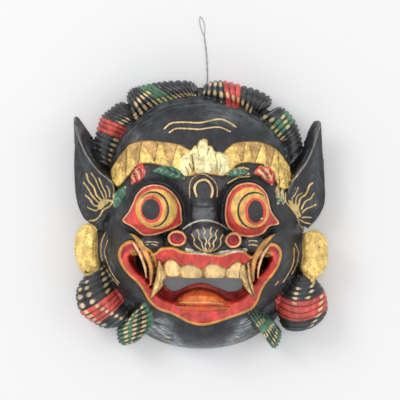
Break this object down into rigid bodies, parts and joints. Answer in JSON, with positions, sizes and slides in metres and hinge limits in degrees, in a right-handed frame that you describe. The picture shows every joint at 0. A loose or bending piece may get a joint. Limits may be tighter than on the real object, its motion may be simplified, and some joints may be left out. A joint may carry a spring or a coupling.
{
  "type": "carved barong mask",
  "caption": "Carved wooden beast mask, hollow behind, with bulging eyes, open fanged mouth, pointed ears, ridged curls and a twisted hanging wire.",
  "frame": {"origin": "centre of the mask's bounding box, at the level of the back rim that it lies on", "axes": "+Z out of the face, +Y towards the crown, +X towards the right of someone who looks at the face"},
  "size_m": [0.256, 0.3375, 0.115],
  "materials": {
    "painted_wood": "black, red, green, cream and gilt paint on carved wood, bare and gouge-marked behind",
    "wire": "thin dull steel wire, slightly browned"
  },
  "bodies": {
    "root": {"mask": "painted_wood", "hanging_wire": "wire"}
  },
  "joints": []
}
